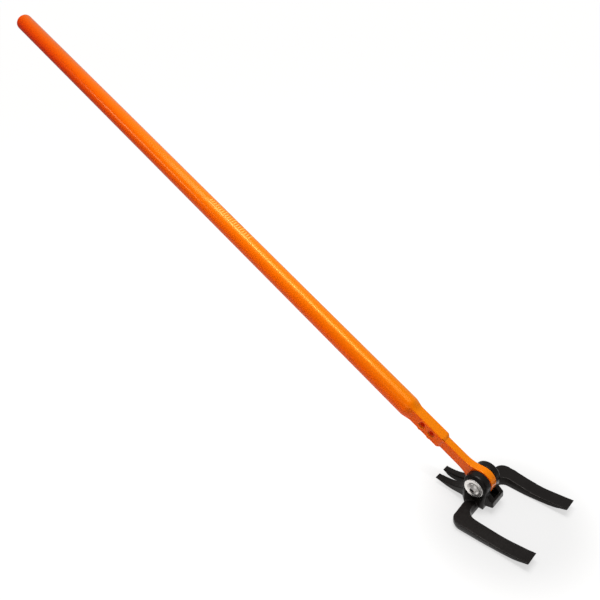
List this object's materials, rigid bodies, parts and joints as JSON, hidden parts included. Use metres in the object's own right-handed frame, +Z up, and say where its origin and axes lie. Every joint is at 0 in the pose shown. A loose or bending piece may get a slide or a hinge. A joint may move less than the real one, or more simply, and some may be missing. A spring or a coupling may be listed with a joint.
{
  "type": "pallet breaker bar",
  "caption": "Pallet breaker bar: forked lifting head with a rear nail claw, hinged in a clevis at the end of a long round tube handle.",
  "frame": {"origin": "centre of the head's flat heel on its underside, straight below the pivot", "axes": "+Z up away from the heel, +X towards the fork tips, +Y across the head to the left of someone looking towards the fork tips; the pivot axis runs along Y 36 mm above the origin and the handle leans back towards -X, 27.1 degrees above the horizontal"},
  "size_m": [1.1578, 0.1362, 0.5865],
  "materials": {
    "orange_paint": "gloss enamel",
    "black_coat": "satin black coat on a cast surface",
    "zinc_plate": "bright zinc plate",
    "bronze": "plain bearing bronze",
    "black_plastic": "moulded",
    "nylon": "moulded"
  },
  "bodies": {
    "head": {"head_casting": "black_coat", "friction_washers": "black_plastic", "bolt_washer": "zinc_plate", "pivot_bolt": "zinc_plate", "lock_nut": "zinc_plate", "nut_insert": "nylon"},
    "handle": {"rod_end": "orange_paint", "handle_tube": "orange_paint", "end_cap": "orange_paint", "tang_pins": "orange_paint", "eye_bush": "bronze"}
  },
  "joints": [
    {"name": "head_pivot", "type": "hinge", "parent": "head", "child": "handle", "pos_m": [0, 0, 0.036], "axis": [0, 1, 0], "range_deg": [-38, 163]}
  ]
}
